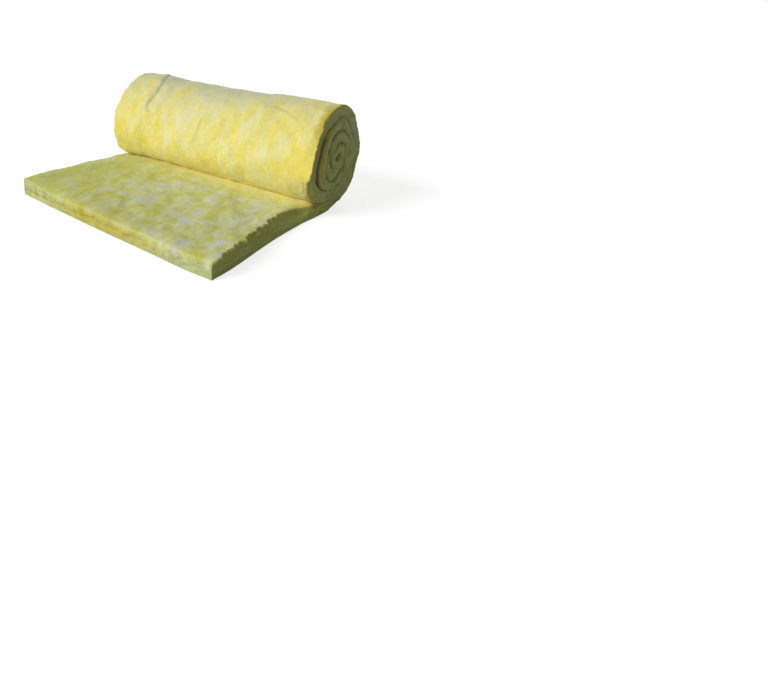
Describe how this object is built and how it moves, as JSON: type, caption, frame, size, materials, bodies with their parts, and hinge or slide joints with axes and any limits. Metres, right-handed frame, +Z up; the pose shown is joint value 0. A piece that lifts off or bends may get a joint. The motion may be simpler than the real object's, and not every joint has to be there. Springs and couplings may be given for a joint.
{
  "type": "insulation roll",
  "caption": "Blanket of yellow glass wool wound into a settled roll that lies a little askew on its loose end, with its turns showing on both ends.",
  "frame": {"origin": "on the floor, in the middle of the part's footprint", "axes": "+X along the blanket's width, +Y from the loose end towards the roll, +Z up"},
  "size_m": [1.2366, 1.1943, 0.5069],
  "materials": {
    "glass_wool": "matte, loose matted fibre"
  },
  "bodies": {
    "root": {"wool_blanket": "glass_wool"}
  },
  "joints": []
}
